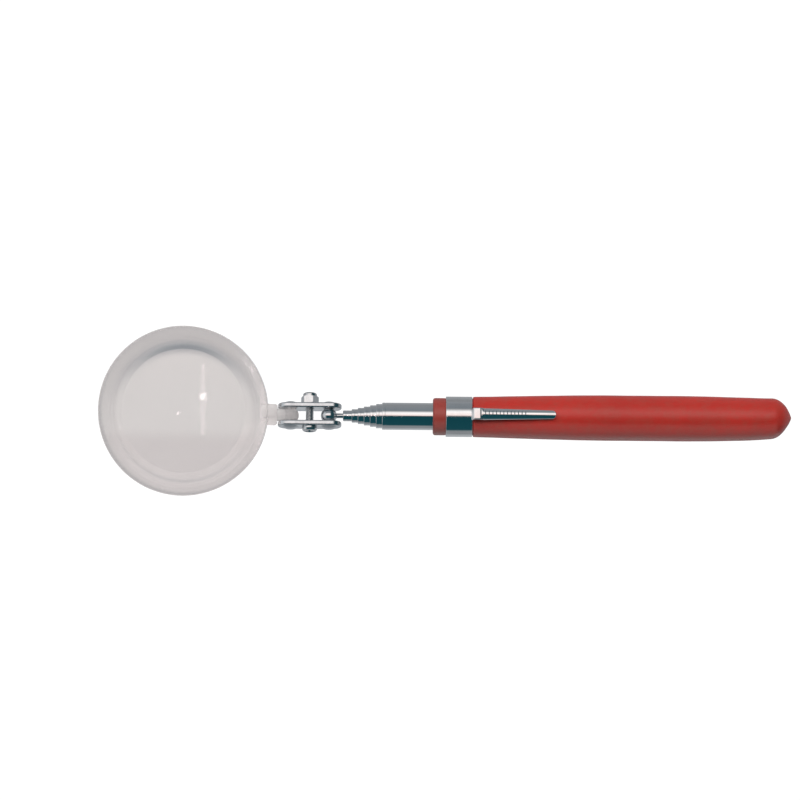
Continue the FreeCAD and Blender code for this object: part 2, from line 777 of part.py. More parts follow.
def make_pocket_clip():
    """Split band round the grip, with a loop that stands up into an arched spring arm."""
    body = new_body("pocket_clip")
    band_inside = "(sizes.grip_groove_diameter / 2 + 0.02)"
    band_outside = f"({band_inside} + sizes.band_thickness)"
    width = "sizes.band_width"
    sheet = "sizes.clip_thickness"
    crown = "sizes.clip_root_crown"
    revolve(body, "band", "H_Axis", [
        ("0", band_inside),
        (width, band_inside),
        (width, band_outside),
        ("0", band_outside),
    ])
    doc.recompute()
    loop_top = f"({crown} + sizes.clip_loop_rise)"
    loop_front = f"({width} + 0.1)"
    pad(body, "loop", "XZ_Plane", [
        (f"{width} - 0.9", band_inside),
        (width, band_inside),
        (f"{loop_front} + {sheet}", f"{loop_top} - {sheet} - 0.6"),
        (f"{loop_front} + {sheet} + 0.6", f"{loop_top} - {sheet}"),
        (f"{loop_front} + sizes.clip_loop_length", f"{loop_top} - {sheet}"),
        (f"{loop_front} + sizes.clip_loop_length", loop_top),
        (f"{loop_front} + 0.9", loop_top, "0.9"),
        (loop_front, f"{loop_top} - 0.9"),
        (f"{width} - 0.9", band_outside),
    ], "sizes.clip_root_width - 0.2", symmetric=True)
    doc.recompute()
    add_clip_arm(body, f"{loop_front} + sizes.clip_loop_length - 0.4")
    seam = new_sketch(body, "seam_outline", "XY_Plane")
    draw_outline(seam, [
        ("-1", "-sizes.band_seam / 2"),
        (f"{width} + 1", "-sizes.band_seam / 2"),
        (f"{width} + 1", "sizes.band_seam / 2"),
        ("-1", "sizes.band_seam / 2"),
    ])
    cut(body, "seam", seam, "sizes.grip_diameter")
    turn(body, FreeCAD.Vector(1, 0, 0), "-sizes.clip_turn")
    place(body, f"{GRIP_FRONT_X} + sizes.grip_collar_length + 0.05", AXIS_Y, AXIS_Z)
    return body


def add_clip_arm(body, root_x):
    """Arched arm: a loft from the wide root section to the narrow tip section."""
    tip_x = f"({root_x} + sizes.clip_length - sizes.clip_loop_length)"
    sections = []
    for name, along, width, crown in (
        ("root", root_x, "sizes.clip_root_width", "sizes.clip_root_crown"),
        ("tip", tip_x, "sizes.clip_tip_width", "sizes.clip_tip_crown"),
    ):
        half = f"({width} / 2)"
        arch = "sizes.clip_arch_radius"
        sheet = "sizes.clip_thickness"
        edge = f"({crown} - {arch} + sqrt({arch} ^ 2 - {half} ^ 2))"
        inner_half = f"({half} - {sheet})"
        inner_arch = f"({arch} - 0.2)"
        sketch = new_sketch(body, f"arm_{name}_outline", "YZ_Plane", along)
        draw_outline(sketch, [
            (f"-{half}", edge),
            (f"-{inner_half}", edge, f"-{inner_arch}"),
            (inner_half, edge),
            (half, edge, arch),
        ])
        sections.append(sketch)
    arm = body.newObject("PartDesign::AdditiveLoft", f"{body.Name}_arm")
    arm.Profile = sections[0]
    arm.Sections = sections[1:]
    doc.recompute()


def make_all():
    """Every sub-part, from the lens to the grip."""
    bodies = [
        make_lens(),
        make_lens_ball(),
        make_clamp_plate("clamp_plate_upper", 0),
        make_clamp_plate("clamp_plate_lower", 180),
        make_clamp_screw(),
        make_lock_nut(),
        make_nut_insert(),
        make_ball_stud(),
        make_outer_tube(),
        make_rear_plug(),
        make_grip(),
        make_pocket_clip(),
    ]
    for tube in range(1, TUBE_COUNT + 1):
        bodies.append(make_sliding_tube(tube))
        bodies.append(make_friction_springs(tube))
    return bodies


def check_document(bodies):
    """Stop if any object failed or any sub-part has no valid solid."""
    for item in doc.Objects:
        if "Invalid" in item.State or "Error" in item.State:
            raise RuntimeError(f"{item.Name} failed: {item.State}")
    for body in bodies:
        if body.Shape.isNull() or not body.Shape.isValid() or not body.Shape.Solids:
            raise RuntimeError(f"{body.Label} has no valid solid")


sub_parts = make_all()
doc.recompute()
check_document(sub_parts)
for sub_part in sub_parts:
    sub_part.Shape.exportStep(f"parts/{sub_part.Label}.step")
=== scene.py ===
import json
import math

import bmesh
import bpy
import numpy as np
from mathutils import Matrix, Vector


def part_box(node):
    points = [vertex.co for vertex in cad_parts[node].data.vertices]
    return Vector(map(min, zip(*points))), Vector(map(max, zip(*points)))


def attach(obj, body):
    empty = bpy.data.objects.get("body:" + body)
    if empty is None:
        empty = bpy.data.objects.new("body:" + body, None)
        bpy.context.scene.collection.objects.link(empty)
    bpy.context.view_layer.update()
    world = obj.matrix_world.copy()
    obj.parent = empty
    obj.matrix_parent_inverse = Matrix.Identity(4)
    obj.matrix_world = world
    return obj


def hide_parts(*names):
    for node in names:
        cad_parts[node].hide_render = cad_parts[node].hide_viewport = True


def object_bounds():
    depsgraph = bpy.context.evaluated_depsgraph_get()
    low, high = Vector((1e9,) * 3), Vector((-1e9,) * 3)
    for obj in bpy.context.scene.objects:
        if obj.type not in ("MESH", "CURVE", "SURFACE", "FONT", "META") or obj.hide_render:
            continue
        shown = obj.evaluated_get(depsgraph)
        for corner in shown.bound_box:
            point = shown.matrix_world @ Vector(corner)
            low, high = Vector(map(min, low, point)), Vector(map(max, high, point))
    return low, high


# Telescoping inspection magnifier: the visible pieces, their finishes and the studio.
# Shapes are written in millimetres in each piece's own (along, radius) or
# (along, across, height) terms, and stand in the CAD frame, which is in metres.

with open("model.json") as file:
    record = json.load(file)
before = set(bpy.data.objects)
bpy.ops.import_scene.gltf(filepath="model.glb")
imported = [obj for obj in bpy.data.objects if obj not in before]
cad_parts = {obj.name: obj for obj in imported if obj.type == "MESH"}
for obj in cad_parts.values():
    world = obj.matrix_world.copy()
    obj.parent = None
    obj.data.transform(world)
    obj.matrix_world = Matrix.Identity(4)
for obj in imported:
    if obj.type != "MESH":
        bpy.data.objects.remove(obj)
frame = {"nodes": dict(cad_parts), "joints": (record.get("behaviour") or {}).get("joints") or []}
cad_low, cad_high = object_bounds()

MM = 0.001
scene = bpy.context.scene
joints = {joint["name"]: joint for joint in frame["joints"]}


def joint_place(name):
    """Where a joint's axis passes, in metres."""
    return Vector(joints[name]["pos_m"])


def joint_axis(name):
    """Unit direction of a joint's axis."""
    return Vector(joints[name]["axis"]).normalized()


def unit(vector):
    """A vector's direction, as an array of length 1."""
    return np.array(Vector(vector).normalized())


# ---------------------------------------------------------------- mesh tools

# The most of an edge that one rounded corner may take up.
CORNER_SHARE = 0.49
# The radius below which a turned ring becomes a single point.
POLE_RADIUS = 1e-6


def rounded(corners, steps=6):
    """Closed or open outline through (along, radius) corners; a third number rounds one."""
    points = []
    count = len(corners)
    for index, corner in enumerate(corners):
        here = np.array(corner[:2], float)
        if len(corner) < 3:
            points.append(here)
            continue
        back = np.array(corners[index - 1][:2], float) - here
        ahead = np.array(corners[(index + 1) % count][:2], float) - here
        back_length, ahead_length = np.linalg.norm(back), np.linalg.norm(ahead)
        back, ahead = back / back_length, ahead / ahead_length
        half = math.acos(max(-1.0, min(1.0, float(back @ ahead)))) / 2
        longest = CORNER_SHARE * min(back_length, ahead_length)
        run = min(corner[2] / math.tan(half), longest)
        radius = run * math.tan(half)
        middle = (back + ahead) / np.linalg.norm(back + ahead)
        centre = here + middle * radius / math.sin(half)
        first, last = here + back * run - centre, here + ahead * run - centre
        sweep = math.pi - 2 * half
        for step in range(steps + 1):
            share = step / steps
            blend = (
                math.sin((1 - share) * sweep) * first + math.sin(share * sweep) * last
            ) / math.sin(sweep)
            points.append(centre + blend)
    return points


def subdivided(points, longest):
    """The same outline with no stretch longer than a limit."""
    fine = []
    for start, end in zip(points, points[1:]):
        pieces = max(1, math.ceil(np.linalg.norm(np.subtract(end, start)) / longest))
        for step in range(pieces):
            fine.append(start + (np.subtract(end, start)) * step / pieces)
    fine.append(np.array(points[-1], float))
    return fine


def circle_arc(centre, radius, start, end, steps):
    """Points on a circle in (along, radius) terms, with angles in degrees."""
    angles = np.radians(np.linspace(start, end, steps + 1))
    return [np.array((centre + radius * math.cos(a), radius * math.sin(a))) for a in angles]


def skin(rings, close_path=False, caps=False):
    """Vertices and faces over a run of closed rings; a ring of one point is a pole."""
    vertices = np.vstack(rings)
    starts = np.cumsum([0] + [len(ring) for ring in rings])
    faces = []
    pairs = len(rings) if close_path else len(rings) - 1
    for index in range(pairs):
        after = (index + 1) % len(rings)
        first, second = starts[index], starts[after]
        first_count, second_count = len(rings[index]), len(rings[after])
        count = max(first_count, second_count)
        for here in range(count):
            there = (here + 1) % count
            if first_count == 1:
                faces.append((first, second + there, second + here))
            elif second_count == 1:
                faces.append((first + here, first + there, second))
            else:
                faces.append((first + here, first + there, second + there, second + here))
    if caps:
        faces.append(tuple(range(starts[0], starts[1]))[::-1])
        faces.append(tuple(range(starts[-2], starts[-1])))
    return vertices, [tuple(int(v) for v in face) for face in faces]


def lathe(outline, origin, axis, segments, closed, relief=None, sway=None):
    """Turn an (along, radius) outline in millimetres about an axis through origin.

    Relief adds to the radius around a ring, and sway moves a ring's centre sideways.
    """
    axis = unit(axis)
    side = unit(np.cross(axis, (0.0, 1.0, 0.0) if abs(axis[1]) < 0.9 else (1.0, 0.0, 0.0)))
    up = np.cross(axis, side)
    angles = np.linspace(0, 2 * math.pi, segments, endpoint=False)
    around = np.outer(np.cos(angles), side) + np.outer(np.sin(angles), up)
    rings = []
    for along, radius in outline:
        centre = np.array(origin) + axis * along * MM
        if sway is not None:
            centre = centre + sway(along, radius) * MM
        if radius < POLE_RADIUS:
            rings.append(centre[None, :])
            continue
        reach = np.full(segments, radius)
        if relief is not None:
            reach = reach + relief(along, angles, radius)
        rings.append(centre + around * (reach * MM)[:, None])
    return skin(rings, close_path=closed)


def new_object(name, vertices, faces):
    """Mesh object with outward normals."""
    mesh = bpy.data.meshes.new(name)
    mesh.from_pydata([tuple(v) for v in vertices], [], faces)
    working = bmesh.new()
    working.from_mesh(mesh)
    bmesh.ops.recalc_face_normals(working, faces=working.faces)
    working.to_mesh(mesh)
    working.free()
    piece = bpy.data.objects.new(name, mesh)
    scene.collection.objects.link(piece)
    return piece


def combine(piece, other, operation):
    """Join another object into a piece, or cut it out of the piece, as one clean solid."""
    modifier = piece.modifiers.new("combine", "BOOLEAN")
    modifier.operation = operation
    modifier.solver = "EXACT"
    modifier.object = other
    bpy.context.view_layer.update()
    evaluated = piece.evaluated_get(bpy.context.evaluated_depsgraph_get())
    mesh = bpy.data.meshes.new_from_object(evaluated)
    piece.modifiers.clear()
    piece.data = mesh
    mesh.name = piece.name
    bpy.data.objects.remove(other)


def finish_piece(piece, material, body, nodes, sharp=32):
    """Shade a piece, give it its finish and hang it on its CAD body.

    Edges that turn by more than sharp degrees stay sharp.
    """
    piece.data.materials.clear()
    piece.data.materials.append(material)
    for polygon in piece.data.polygons:
        polygon.material_index = 0
    piece.data.shade_smooth()
    piece.data.set_sharp_from_angle(angle=math.radians(sharp))
    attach(piece, body)
    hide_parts(*nodes)
    return piece


# ---------------------------------------------------------------- materials


class Nodes:
    """An emptied node tree, with short calls for adding nodes and wiring their inputs."""

    def __init__(self, tree):
        self.tree = tree
        self.tree.nodes.clear()

    def add(self, kind, inputs=None, **settings):
        node = self.tree.nodes.new(kind)
        for key, value in settings.items():
            setattr(node, key, value)
        for key, value in (inputs or {}).items():
            if isinstance(value, bpy.types.NodeSocket):
                self.tree.links.new(value, node.inputs[key])
            else:
                node.inputs[key].default_value = value
        return node

    def axes(self, vector):
        """A vector's X, Y and Z."""
        return self.add("ShaderNodeSeparateXYZ", {0: vector}).outputs

    def remap(self, value, low, high, to_low, to_high):
        """Carry a value from the range low to high over to another range, and clamp it."""
        node = self.add(
            "ShaderNodeMapRange",
            {"Value": value, "From Min": low, "From Max": high, "To Min": to_low,
             "To Max": to_high},
        )
        return node.outputs["Result"]

    def soft(self, value, low, high):
        """Smooth share from 0 at low to 1 at high."""
        node = self.add(
            "ShaderNodeMapRange", {"Value": value, "From Min": low, "From Max": high},
            interpolation_type="SMOOTHSTEP",
        )
        return node.outputs["Result"]

    def math(self, operation, first, second=0.0):
        node = self.add("ShaderNodeMath", {0: first, 1: second}, operation=operation)
        return node.outputs[0]

    def times(self, first, second):
        return self.math("MULTIPLY", first, second)

    def larger(self, first, second):
        return self.math("MAXIMUM", first, second)

    def vector(self, operation, first, second):
        node = self.add("ShaderNodeVectorMath", {0: first, 1: second}, operation=operation)
        return node.outputs[0]

    def length(self, vector):
        node = self.add("ShaderNodeVectorMath", {0: vector}, operation="LENGTH")
        return node.outputs["Value"]

    def blend(self, share, first, second, kind="MIX"):
        """Colour that goes from the first to the second with a share from 0 to 1."""
        node = self.add(
            "ShaderNodeMix", {0: share, 6: first, 7: second}, data_type="RGBA",
            blend_type=kind,
        )
        return node.outputs[2]

    def shader(self, kind, inputs):
        return self.add(kind, inputs).outputs[0]

    def mixed(self, share, first, second):
        """Shader that goes from the first to the second with a share from 0 to 1."""
        return self.shader("ShaderNodeMixShader", {0: share, 1: first, 2: second})

    def show(self, shader, kind="ShaderNodeOutputMaterial"):
        """Connect a shader to the tree's output."""
        self.add(kind, {"Surface": shader})


class Finish(Nodes):
    """A node material whose patterns lie in the CAD frame."""

    def __init__(self, name):
        self.material = bpy.data.materials.new(name)
        self.material.use_nodes = True
        super().__init__(self.material.node_tree)
        self.place = self.add("ShaderNodeTexCoord").outputs["Object"]

    def noise(self, scale, detail=3.0, roughness=0.5, stretch=(1.0, 1.0, 1.0), shift=0.0):
        """Noise with features of about 1/scale metres, drawn out by a stretch."""
        mapping = self.add(
            "ShaderNodeMapping",
            {"Vector": self.place, "Scale": stretch, "Location": (shift, shift, shift)},
        )
        node = self.add(
            "ShaderNodeTexNoise",
            {"Vector": mapping.outputs[0], "Scale": scale, "Detail": detail,
             "Roughness": roughness},
        )
        return node.outputs["Fac"]

    def bump(self, height, distance, strength=1.0, normal=None):
        """Normal of a relief, laid over another normal."""
        inputs = {"Height": height, "Distance": distance, "Strength": strength}
        if normal is not None:
            inputs["Normal"] = normal
        return self.add("ShaderNodeBump", inputs).outputs["Normal"]

    def edge(self):
        """Share that rises on raised edges and falls in hollows, from 0 to 1."""
        pointiness = self.add("ShaderNodeNewGeometry").outputs["Pointiness"]
        return self.remap(pointiness, 0.5, 0.6, 0.0, 1.0)

    def surface(self, inputs):
        """Show a Principled surface with these inputs."""
        self.show(self.shader("ShaderNodeBsdfPrincipled", inputs))


def rgba(red, green, blue):
    """An opaque colour."""
    return (red, green, blue, 1.0)


def metal_finish(name, base, tarnish, roughness, spread, line_stretch, line_depth,
                 blotch_scale=90.0):
    """Plated metal: fine polishing lines, hazy handling marks and brighter edges.

    Tarnish is the tone of the marks, and spread is how much duller the dullest of them are.
    """
    finish = Finish(name)
    blotches = finish.noise(blotch_scale, detail=4.0, roughness=0.6)
    haze = finish.noise(blotch_scale * 4.5, detail=2.0, shift=3.1)
    lines = finish.noise(1.0, detail=2.0, stretch=line_stretch, shift=0.7)
    marks = finish.remap(blotches, 0.42, 0.68, 0.0, 1.0)
    tone = finish.blend(finish.times(marks, 0.55), rgba(*base), rgba(*tarnish))
    tone = finish.blend(finish.times(finish.edge(), 0.5), tone, rgba(0.92, 0.93, 0.94))
    gloss = finish.remap(
        finish.math("ADD", blotches, finish.times(haze, 0.5)),
        0.55, 1.0, roughness, roughness + spread,
    )
    normal = finish.bump(lines, line_depth, 0.8)
    normal = finish.bump(haze, line_depth * 2.0, 0.5, normal)
    finish.surface({
        "Base Color": tone, "Metallic": 1.0, "Roughness": gloss, "Normal": normal,
    })
    return finish.material


def vinyl_finish():
    """Satin dipped vinyl: an orange-peel skin, slight colour drift and rubbed edges."""
    finish = Finish("red_vinyl")
    drift = finish.noise(55.0, detail=4.0, roughness=0.6)
    peel = finish.noise(620.0, detail=2.0, shift=1.3)
    grain = finish.noise(3200.0, detail=2.0, shift=5.7)
    runs = finish.noise(45.0, detail=3.0, stretch=(0.25, 1.6, 1.6), shift=2.2)
    tone = finish.blend(
        finish.remap(drift, 0.35, 0.7, 0.0, 1.0), rgba(0.46, 0.028, 0.020), rgba(0.39, 0.026, 0.019)
    )
    mottle = finish.noise(340.0, detail=3.0, roughness=0.6, shift=8.3)
    tone = finish.blend(
        finish.times(finish.remap(mottle, 0.42, 0.66, 0.0, 1.0), 0.55),
        tone, rgba(0.36, 0.048, 0.034),
    )
    along = finish.axes(finish.place)["X"]
    collar_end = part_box("pocket_clip")[0].x
    collar = finish.remap(along, collar_end, collar_end + 0.8 * MM, 0.75, 0.0)
    tone = finish.blend(collar, tone, rgba(0.24, 0.052, 0.044))
    tone = finish.blend(
        finish.times(finish.remap(grain, 0.5, 0.75, 0.0, 1.0), 0.12),
        tone, rgba(0.5, 0.06, 0.045),
    )
    tone = finish.blend(finish.times(finish.edge(), 0.25), tone, rgba(0.52, 0.09, 0.07))
    gloss = finish.remap(finish.math("ADD", peel, runs), 0.7, 1.3, 0.29, 0.40)
    normal = finish.bump(peel, 6e-5, 0.35)
    normal = finish.bump(grain, 1.2e-5, 0.5, normal)
    normal = finish.bump(runs, 3e-4, 0.25, normal)
    finish.surface({
        "Base Color": tone, "Roughness": gloss, "Normal": normal, "IOR": 1.5,
        "Specular IOR Level": 0.40,
    })
    return finish.material


def acrylic_finish(name, haze, milk_and_shade):
    """Clear moulded acrylic with fine scratches and a milky cast.

    Haze and milk_and_shade are (start, end, near, far): the share of the cast and its brightness go
    from near to far between two distances in millimetres from the middle of the lens.
    Where the brightness falls, it is painted shade.
    """
    finish = Finish(name)
    flow = finish.noise(60.0, detail=2.0)
    scratches = finish.noise(900.0, detail=3.0, stretch=(1.0, 0.06, 1.0), shift=4.4)
    specks = finish.noise(240.0, detail=5.0, roughness=0.7, shift=1.9)
    normal = finish.bump(flow, 6e-5, 0.12)
    normal = finish.bump(scratches, 4e-6, 0.25, normal)
    tint = finish.blend(
        finish.remap(flow, 0.3, 0.7, 0.0, 1.0), rgba(0.985, 0.976, 0.974), rgba(0.975, 0.966, 0.963)
    )
    clear = finish.shader("ShaderNodeBsdfPrincipled", {
        "Base Color": tint, "Roughness": finish.remap(specks, 0.45, 0.75, 0.035, 0.08),
        "Normal": normal, "IOR": 1.49, "Transmission Weight": 1.0, "Specular IOR Level": 0.16,
    })
    radius = finish.length(finish.vector("MULTIPLY", finish.place, (1.0, 1.0, 0.0)))

    def graded(start, end, near, far):
        return finish.remap(radius, start * MM, end * MM, near, far)

    streaks = finish.blend(flow, rgba(1.0, 0.98, 0.98), rgba(0.91, 0.90, 0.91))
    cast = finish.blend(1.0, streaks, graded(*milk_and_shade), "MULTIPLY")
    milky = finish.shader("ShaderNodeAddShader", {
        0: finish.shader("ShaderNodeBsdfDiffuse", {"Color": cast}),
        1: finish.shader("ShaderNodeBsdfTranslucent", {"Color": cast}),
    })
    # The tab is milky around the stud too, which softens the end of the stud's hole.
    axes = finish.axes(finish.place)
    beside = finish.soft(finish.math("ABSOLUTE", axes["Y"]), 3.2 * MM, 1.8 * MM)
    around_stud = finish.times(finish.soft(axes["X"], 26.8 * MM, 28.4 * MM), beside)
    share = finish.larger(graded(*haze), finish.times(around_stud, haze[3]))
    light = finish.shader("ShaderNodeBsdfTransparent", {0: rgba(0.975, 0.97, 0.968)})
    path = finish.add("ShaderNodeLightPath").outputs
    indirect = finish.larger(path["Is Shadow Ray"], path["Is Diffuse Ray"])
    finish.show(finish.mixed(indirect, finish.mixed(share, clear, milky), light))
    return finish.material


def plastic_finish(name, base, shade, roughness, scale=900.0):
    """Moulded plastic with a fine sparked grain and a slight colour drift."""
    finish = Finish(name)
    drift = finish.noise(150.0, detail=3.0)
    grain = finish.noise(scale, detail=3.0, shift=2.0)
    tone = finish.blend(finish.remap(drift, 0.3, 0.7, 0.0, 1.0), rgba(*base), rgba(*shade))
    finish.surface({
        "Base Color": tone,
        "Roughness": finish.remap(grain, 0.3, 0.7, roughness - 0.08, roughness + 0.08),
        "Normal": finish.bump(grain, 1.5e-5, 0.5),
    })
    return finish.material


chrome_tube = metal_finish(
    "chromed_tube", (0.80, 0.81, 0.82), (0.66, 0.67, 0.68), 0.05, 0.07,
    (5200.0, 60.0, 60.0), 1.2e-6,
)
chrome_clip = metal_finish(
    "chromed_clip", (0.84, 0.845, 0.85), (0.70, 0.71, 0.72), 0.06, 0.10,
    (300.0, 2600.0, 2600.0), 1.5e-6, 140.0,
)
zinc_plate = metal_finish(
    "zinc_plate", (0.66, 0.68, 0.70), (0.50, 0.52, 0.54), 0.17, 0.09,
    (700.0, 1500.0, 700.0), 5e-6, 420.0,
)
zinc_screw = metal_finish(
    "plated_screw", (0.70, 0.71, 0.72), (0.46, 0.47, 0.48), 0.16, 0.10,
    (900.0, 900.0, 900.0), 4e-6, 600.0,
)
zinc_nut = metal_finish(
    "plated_nut", (0.68, 0.69, 0.70), (0.46, 0.47, 0.48), 0.16, 0.10,
    (900.0, 900.0, 900.0), 4e-6, 500.0,
)
polished_steel = metal_finish(
    "polished_ball", (0.72, 0.74, 0.75), (0.55, 0.56, 0.57), 0.04, 0.06,
    (2500.0, 400.0, 400.0), 1e-6, 300.0,
)
spring_bronze = metal_finish(
    "bronze_spring", (0.72, 0.50, 0.25), (0.45, 0.28, 0.14), 0.17, 0.09,
    (300.0, 1800.0, 1800.0), 3e-6, 260.0,
)
red_vinyl = vinyl_finish()
clear_acrylic = acrylic_finish("clear_acrylic", (29.7, 30.8, 0.06, 0.42), (0, 30, 0.44, 0.44))
# The ball's milky cast darkens from the tab to the ball: painted shade where the ball sits between
# the clamp plates.
clear_ball_acrylic = acrylic_finish(
    "clear_ball_acrylic", (33.0, 39.0, 0.46, 0.50), (34.0, 38.5, 0.42, 0.28)
)
nylon = plastic_finish("nylon_insert", (0.80, 0.79, 0.72), (0.72, 0.71, 0.64), 0.45)
black_plastic = plastic_finish("black_plug", (0.035, 0.035, 0.037), (0.05, 0.05, 0.052), 0.5)

# ---------------------------------------------------------------- telescope

# Gaps between pieces that slide and between pieces that are held together.
SLIDE_GAP = 0.05
HOLD_GAP = 0.02
TUBE_COUNT = 6
WALL = 0.3
LIP = 1.0
GROOVE_DEPTH = 0.035
GROOVE_WIDTH = 0.42
GROOVE_SLOPE = 0.12
RECESS = 7.2
RECESS_DROP = 0.35
FLANGE = 0.5
FLANGE_RISE = 0.25
NECK_RADIUS = 0.85
ALONG = (1.0, 0.0, 0.0)

grip_low, grip_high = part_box("grip")
AXIS_Y = (grip_low.y + grip_high.y) / 2
AXIS_Z = (grip_low.z + grip_high.z) / 2


def span_of(node):
    """(start on the telescope axis, length in mm, radius in mm) of a turned node."""
    low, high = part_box(node)
    start = Vector((low.x, AXIS_Y, AXIS_Z))
    return start, (high.x - low.x) / MM, (high.z - low.z) / 2 / MM


def tube_node(tube):
    """CAD node of a tube, counted inwards from the fixed one, which is 0."""
    return "outer_tube" if tube == 0 else f"tube_{tube}"


def tube_outline(tube):
    """Wall with a rolled front lip; a sliding tube is necked down at its flanged rear end."""
    _, length, radius = span_of(tube_node(tube))
    if tube < TUBE_COUNT:
        lip = span_of(tube_node(tube + 1))[2] + SLIDE_GAP
    else:
        lip = NECK_RADIUS + HOLD_GAP
    front = [
        (0.0, radius, 0.3),
        (LIP, radius, 0.05),
        (LIP + GROOVE_SLOPE, radius - GROOVE_DEPTH, 0.05),
        (LIP + GROOVE_WIDTH - GROOVE_SLOPE, radius - GROOVE_DEPTH, 0.05),
        (LIP + GROOVE_WIDTH, radius, 0.05),
    ]
    if tube == 0:
        rear = [(length, radius, 0.05), (length, radius - WALL, 0.05)]
    else:
        neck = length - RECESS
        low = radius - RECESS_DROP
        rear = [
            (neck, radius, 0.3),
            (neck + 0.3, low, 0.3),
            (length - FLANGE, low),
            (length - FLANGE, low + FLANGE_RISE, 0.05),
            (length, low + FLANGE_RISE, 0.05),
            (length, low - WALL),
            (neck, low - WALL, 0.2),
            (neck - 0.3, radius - WALL, 0.2),
        ]
    inside = [(LIP + 0.25, radius - WALL, 0.1), (LIP, lip, 0.1), (0.0, lip, 0.1)]
    return rounded(front + rear + inside, steps=4)


def make_tubes():
    """The fixed tube and the sliding ones inside it."""
    for tube in range(TUBE_COUNT + 1):
        node = tube_node(tube)
        mesh = lathe(tube_outline(tube), span_of(node)[0], ALONG, 128, True)
        body = "handle" if tube == 0 else f"section_{tube}"
        finish_piece(
            new_object(f"telescope_{node}", *mesh), chrome_tube, body, [node]
        )


make_tubes()

# ---------------------------------------------------------------- ball studs

STEEL_BALL = joint_place("clamp_swing")
CLEAR_BALL = joint_place("lens_swing")
STEEL_RADIUS = 2.85
CLEAR_RADIUS = 2.9
CLEAR_NECK_RADIUS = 2.2
CLEAR_STUD_RADIUS = 1.3
# Distances from the clear ball's centre to the tab and to the end of its stud.
TAB_STANDOFF = 4.75
CLEAR_TIP = 9.36


def ball_on_neck(ball, neck, fillet, steps=40, bends=8):
    """Outline from the ball's far pole, round the ball, to the foot of its neck."""
    meeting = math.degrees(math.asin((neck + fillet) / (ball + fillet)))
    centre = (ball + fillet) * math.cos(math.radians(meeting))
    points = circle_arc(0.0, ball, 180.0, meeting, steps)
    points[0][1] = 0.0
    for step in range(1, bends + 1):
        angle = math.radians(180 + meeting + (90 - meeting) * step / bends)
        points.append(np.array((
            centre + fillet * math.cos(angle), neck + fillet + fillet * math.sin(angle)
        )))
    return points


def make_steel_stud():
    """Polished ball, thin neck and the stud that the smallest tube is closed over."""
    stud = span_of("tube_6")[2] - WALL - HOLD_GAP
    shoulder = (span_of("tube_6")[0].x - STEEL_BALL.x) / MM + LIP + 0.05
    tail = (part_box("ball_stud")[1].x - STEEL_BALL.x) / MM
    outline = ball_on_neck(STEEL_RADIUS, NECK_RADIUS, 0.35) + rounded([
        (shoulder - 0.5, NECK_RADIUS), (shoulder, NECK_RADIUS), (shoulder, stud, 0.4),
        (tail, stud, 0.3), (tail, 0.0),
    ], steps=4)
    piece = new_object("steel_ball_stud", *lathe(outline, STEEL_BALL, ALONG, 96, False))
    finish_piece(piece, polished_steel, "section_6", ["ball_stud"])


make_steel_stud()


def make_clear_ball():
    """Clear ball and neck, with the stud that turns in the lens's tab."""
    outline = ball_on_neck(CLEAR_RADIUS, CLEAR_NECK_RADIUS, 0.5) + rounded([
        (TAB_STANDOFF - 0.6, CLEAR_NECK_RADIUS), (TAB_STANDOFF, CLEAR_NECK_RADIUS, 0.1),
        (TAB_STANDOFF, CLEAR_STUD_RADIUS), (CLEAR_TIP, CLEAR_STUD_RADIUS, 0.1),
        (CLEAR_TIP, 0.0),
    ], steps=4)
    piece = new_object(
        "clear_ball_stud", *lathe(outline, CLEAR_BALL, joint_axis("lens_spin"), 96, False)
    )
    finish_piece(piece, clear_ball_acrylic, "lens_ball", ["lens_ball"])


make_clear_ball()

# ---------------------------------------------------------------- clamp

STACK_HALF = 4.1
THREAD_PITCH = 0.5
THREAD_DEPTH = 0.27
SHANK_RADIUS = 1.45
SCREW_LENGTH = 12.0
SCREW_POINT = 0.35
THREAD_START = 0.5
THREAD_END = SCREW_LENGTH - 0.2
HEAD_RADIUS = 2.7
HEAD_HEIGHT = 1.9
CLAMP_CENTRE = (STEEL_BALL + CLEAR_BALL) / 2
STACK = joint_axis("clamp_swing")


def make_screw():
    """Pan-head screw with a cut thread and a cross recess."""
    foot = CLAMP_CENTRE - STACK * STACK_HALF * MM

    def thread(along, angles, radius):
        if along < THREAD_START or along > THREAD_END:
            return np.zeros_like(angles)
        fade = min(1.0, (along - THREAD_START) / 0.5, (THREAD_END - along) / 0.3)
        # The cut is deepest in the middle of each turn and ends at the crests.
        turn = (along / THREAD_PITCH - angles / (2 * math.pi)) % 1.0
        valley = 1.0 - np.clip(np.abs(turn - 0.5) * 2.6 - 0.15, 0.0, 1.0)
        return -THREAD_DEPTH * fade * valley

    shank_end = SCREW_LENGTH - SCREW_POINT
    shank = subdivided([np.array((0.0, SHANK_RADIUS)), np.array((shank_end, SHANK_RADIUS))], 0.06)
    outline = [np.array((-HEAD_HEIGHT, 0.0))] + rounded([
        (-HEAD_HEIGHT, HEAD_RADIUS - 0.55, 0.9), (-0.75, HEAD_RADIUS, 0.35),
        (0.0, HEAD_RADIUS, 0.15), (0.0, SHANK_RADIUS + 0.05, 0.1),
    ]) + shank + [
        np.array((SCREW_LENGTH, SHANK_RADIUS - SCREW_POINT)), np.array((SCREW_LENGTH, 0.0))
    ]
    piece = new_object("clamp_screw_m3", *lathe(outline, foot, STACK, 72, False, thread))
    combine(piece, make_cross_cutter(foot), "DIFFERENCE")
    finish_piece(piece, zinc_screw, "clamp", ["clamp_screw"], 38)


